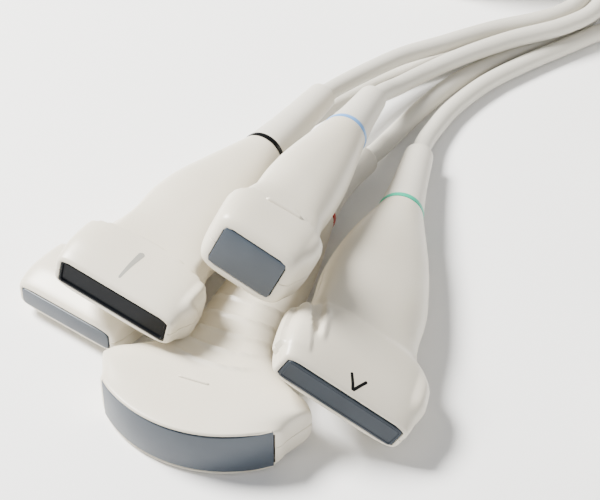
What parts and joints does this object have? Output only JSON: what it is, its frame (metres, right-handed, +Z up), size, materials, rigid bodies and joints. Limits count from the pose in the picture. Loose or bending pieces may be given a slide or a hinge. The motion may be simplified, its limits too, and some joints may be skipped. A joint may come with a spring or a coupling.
{
  "type": "ultrasound transducer probe set",
  "caption": "Pile of hand-held ultrasound transducer probes: linear, convex and phased-array heads on colour-banded handles, with strain reliefs, coiled leads and lever-lock connectors.",
  "frame": {"origin": "middle of the pile of probes, on the table they lie on", "axes": "+X to the right and +Y away from the camera along the table, +Z up from the table"},
  "size_m": [0.3335, 0.3661, 0.0631],
  "materials": {
    "housing": "satin",
    "lens_grey": "satin",
    "lens_black": "satin",
    "acoustic_stack": "matte",
    "circuit_board": "satin",
    "band_grey": "satin",
    "band_black": "satin",
    "band_blue": "satin",
    "band_red": "satin",
    "band_green": "satin",
    "strain_relief": "satin",
    "lead": "satin",
    "connector_body": "satin",
    "contact_block": "satin",
    "lever": "satin"
  },
  "bodies": {
    "base": {"d_shell_top": "housing", "d_shell_bottom": "housing", "d_lens": "lens_grey", "d_array": "acoustic_stack", "d_flex": "circuit_board", "d_band": "band_red", "d_boot": "strain_relief", "d_cable": "lead", "d_coil": "lead", "d_plug": "connector_body", "d_contacts": "contact_block", "a_boot": "strain_relief", "a_cable": "lead", "a_coil": "lead", "a_plug": "connector_body", "a_contacts": "contact_block", "b_boot": "strain_relief", "b_cable": "lead", "b_coil": "lead", "b_plug": "connector_body", "b_contacts": "contact_block", "c_boot": "strain_relief", "c_cable": "lead", "c_coil": "lead", "c_plug": "connector_body", "c_contacts": "contact_block", "e_boot": "strain_relief", "e_cable": "lead", "e_coil": "lead", "e_plug": "connector_body", "e_contacts": "contact_block"},
    "probe_a": {"a_shell_top": "housing", "a_shell_bottom": "housing", "a_lens": "lens_grey", "a_array": "acoustic_stack", "a_flex": "circuit_board", "a_band": "band_grey"},
    "probe_b": {"b_shell_top": "housing", "b_shell_bottom": "housing", "b_lens": "lens_black", "b_array": "acoustic_stack", "b_flex": "circuit_board", "b_band": "band_black"},
    "probe_c": {"c_shell_top": "housing", "c_shell_bottom": "housing", "c_lens": "lens_grey", "c_array": "acoustic_stack", "c_flex": "circuit_board", "c_band": "band_blue"},
    "probe_e": {"e_shell_top": "housing", "e_shell_bottom": "housing", "e_lens": "lens_grey", "e_array": "acoustic_stack", "e_flex": "circuit_board", "e_band": "band_green"},
    "lever_a": {"a_lever": "lever"},
    "lever_b": {"b_lever": "lever"},
    "lever_c": {"c_lever": "lever"},
    "lever_d": {"d_lever": "lever"},
    "lever_e": {"e_lever": "lever"}
  },
  "joints": [
    {"name": "probe_a_swing", "type": "hinge", "parent": "base", "child": "probe_a", "pos_m": [0.01014, 0.06319, 0.0086], "axis": [0, 0, -1], "range_deg": [0, 20], "deforming": ["a_boot"]},
    {"name": "probe_b_lift", "type": "hinge", "parent": "base", "child": "probe_b", "pos_m": [0.02013, 0.06197, 0.0223], "axis": [-0.736, 0.362, -0.572], "range_deg": [0, 25], "deforming": ["b_boot"]},
    {"name": "probe_c_lift", "type": "hinge", "parent": "base", "child": "probe_c", "pos_m": [0.04338, 0.0611, 0.02633], "axis": [-0.9408, 0.3389, 0], "range_deg": [0, 25], "deforming": ["c_boot"]},
    {"name": "probe_e_lift", "type": "hinge", "parent": "base", "child": "probe_e", "pos_m": [0.06179, 0.04464, 0.00909], "axis": [-0.8737, 0.2439, 0.4209], "range_deg": [0, 25], "deforming": ["e_boot"]},
    {"name": "lever_a_turn", "type": "hinge", "parent": "base", "child": "lever_a", "pos_m": [0.0095, 0.2578, 0.014], "axis": [0, -1, 0], "range_deg": [0, 90]},
    {"name": "lever_b_turn", "type": "hinge", "parent": "base", "child": "lever_b", "pos_m": [0.0095, 0.2578, 0.043], "axis": [0, -1, 0], "range_deg": [0, 90]},
    {"name": "lever_c_turn", "type": "hinge", "parent": "base", "child": "lever_c", "pos_m": [0.2377, 0.1356, 0.043], "axis": [1, 0, 0], "range_deg": [0, 90]},
    {"name": "lever_d_turn", "type": "hinge", "parent": "base", "child": "lever_d", "pos_m": [0.2377, 0.1356, 0.014], "axis": [1, 0, 0], "range_deg": [0, 90]},
    {"name": "lever_e_turn", "type": "hinge", "parent": "base", "child": "lever_e", "pos_m": [0.1593, -0.0384, 0.014], "axis": [1, 0, 0], "range_deg": [0, 90]}
  ]
}
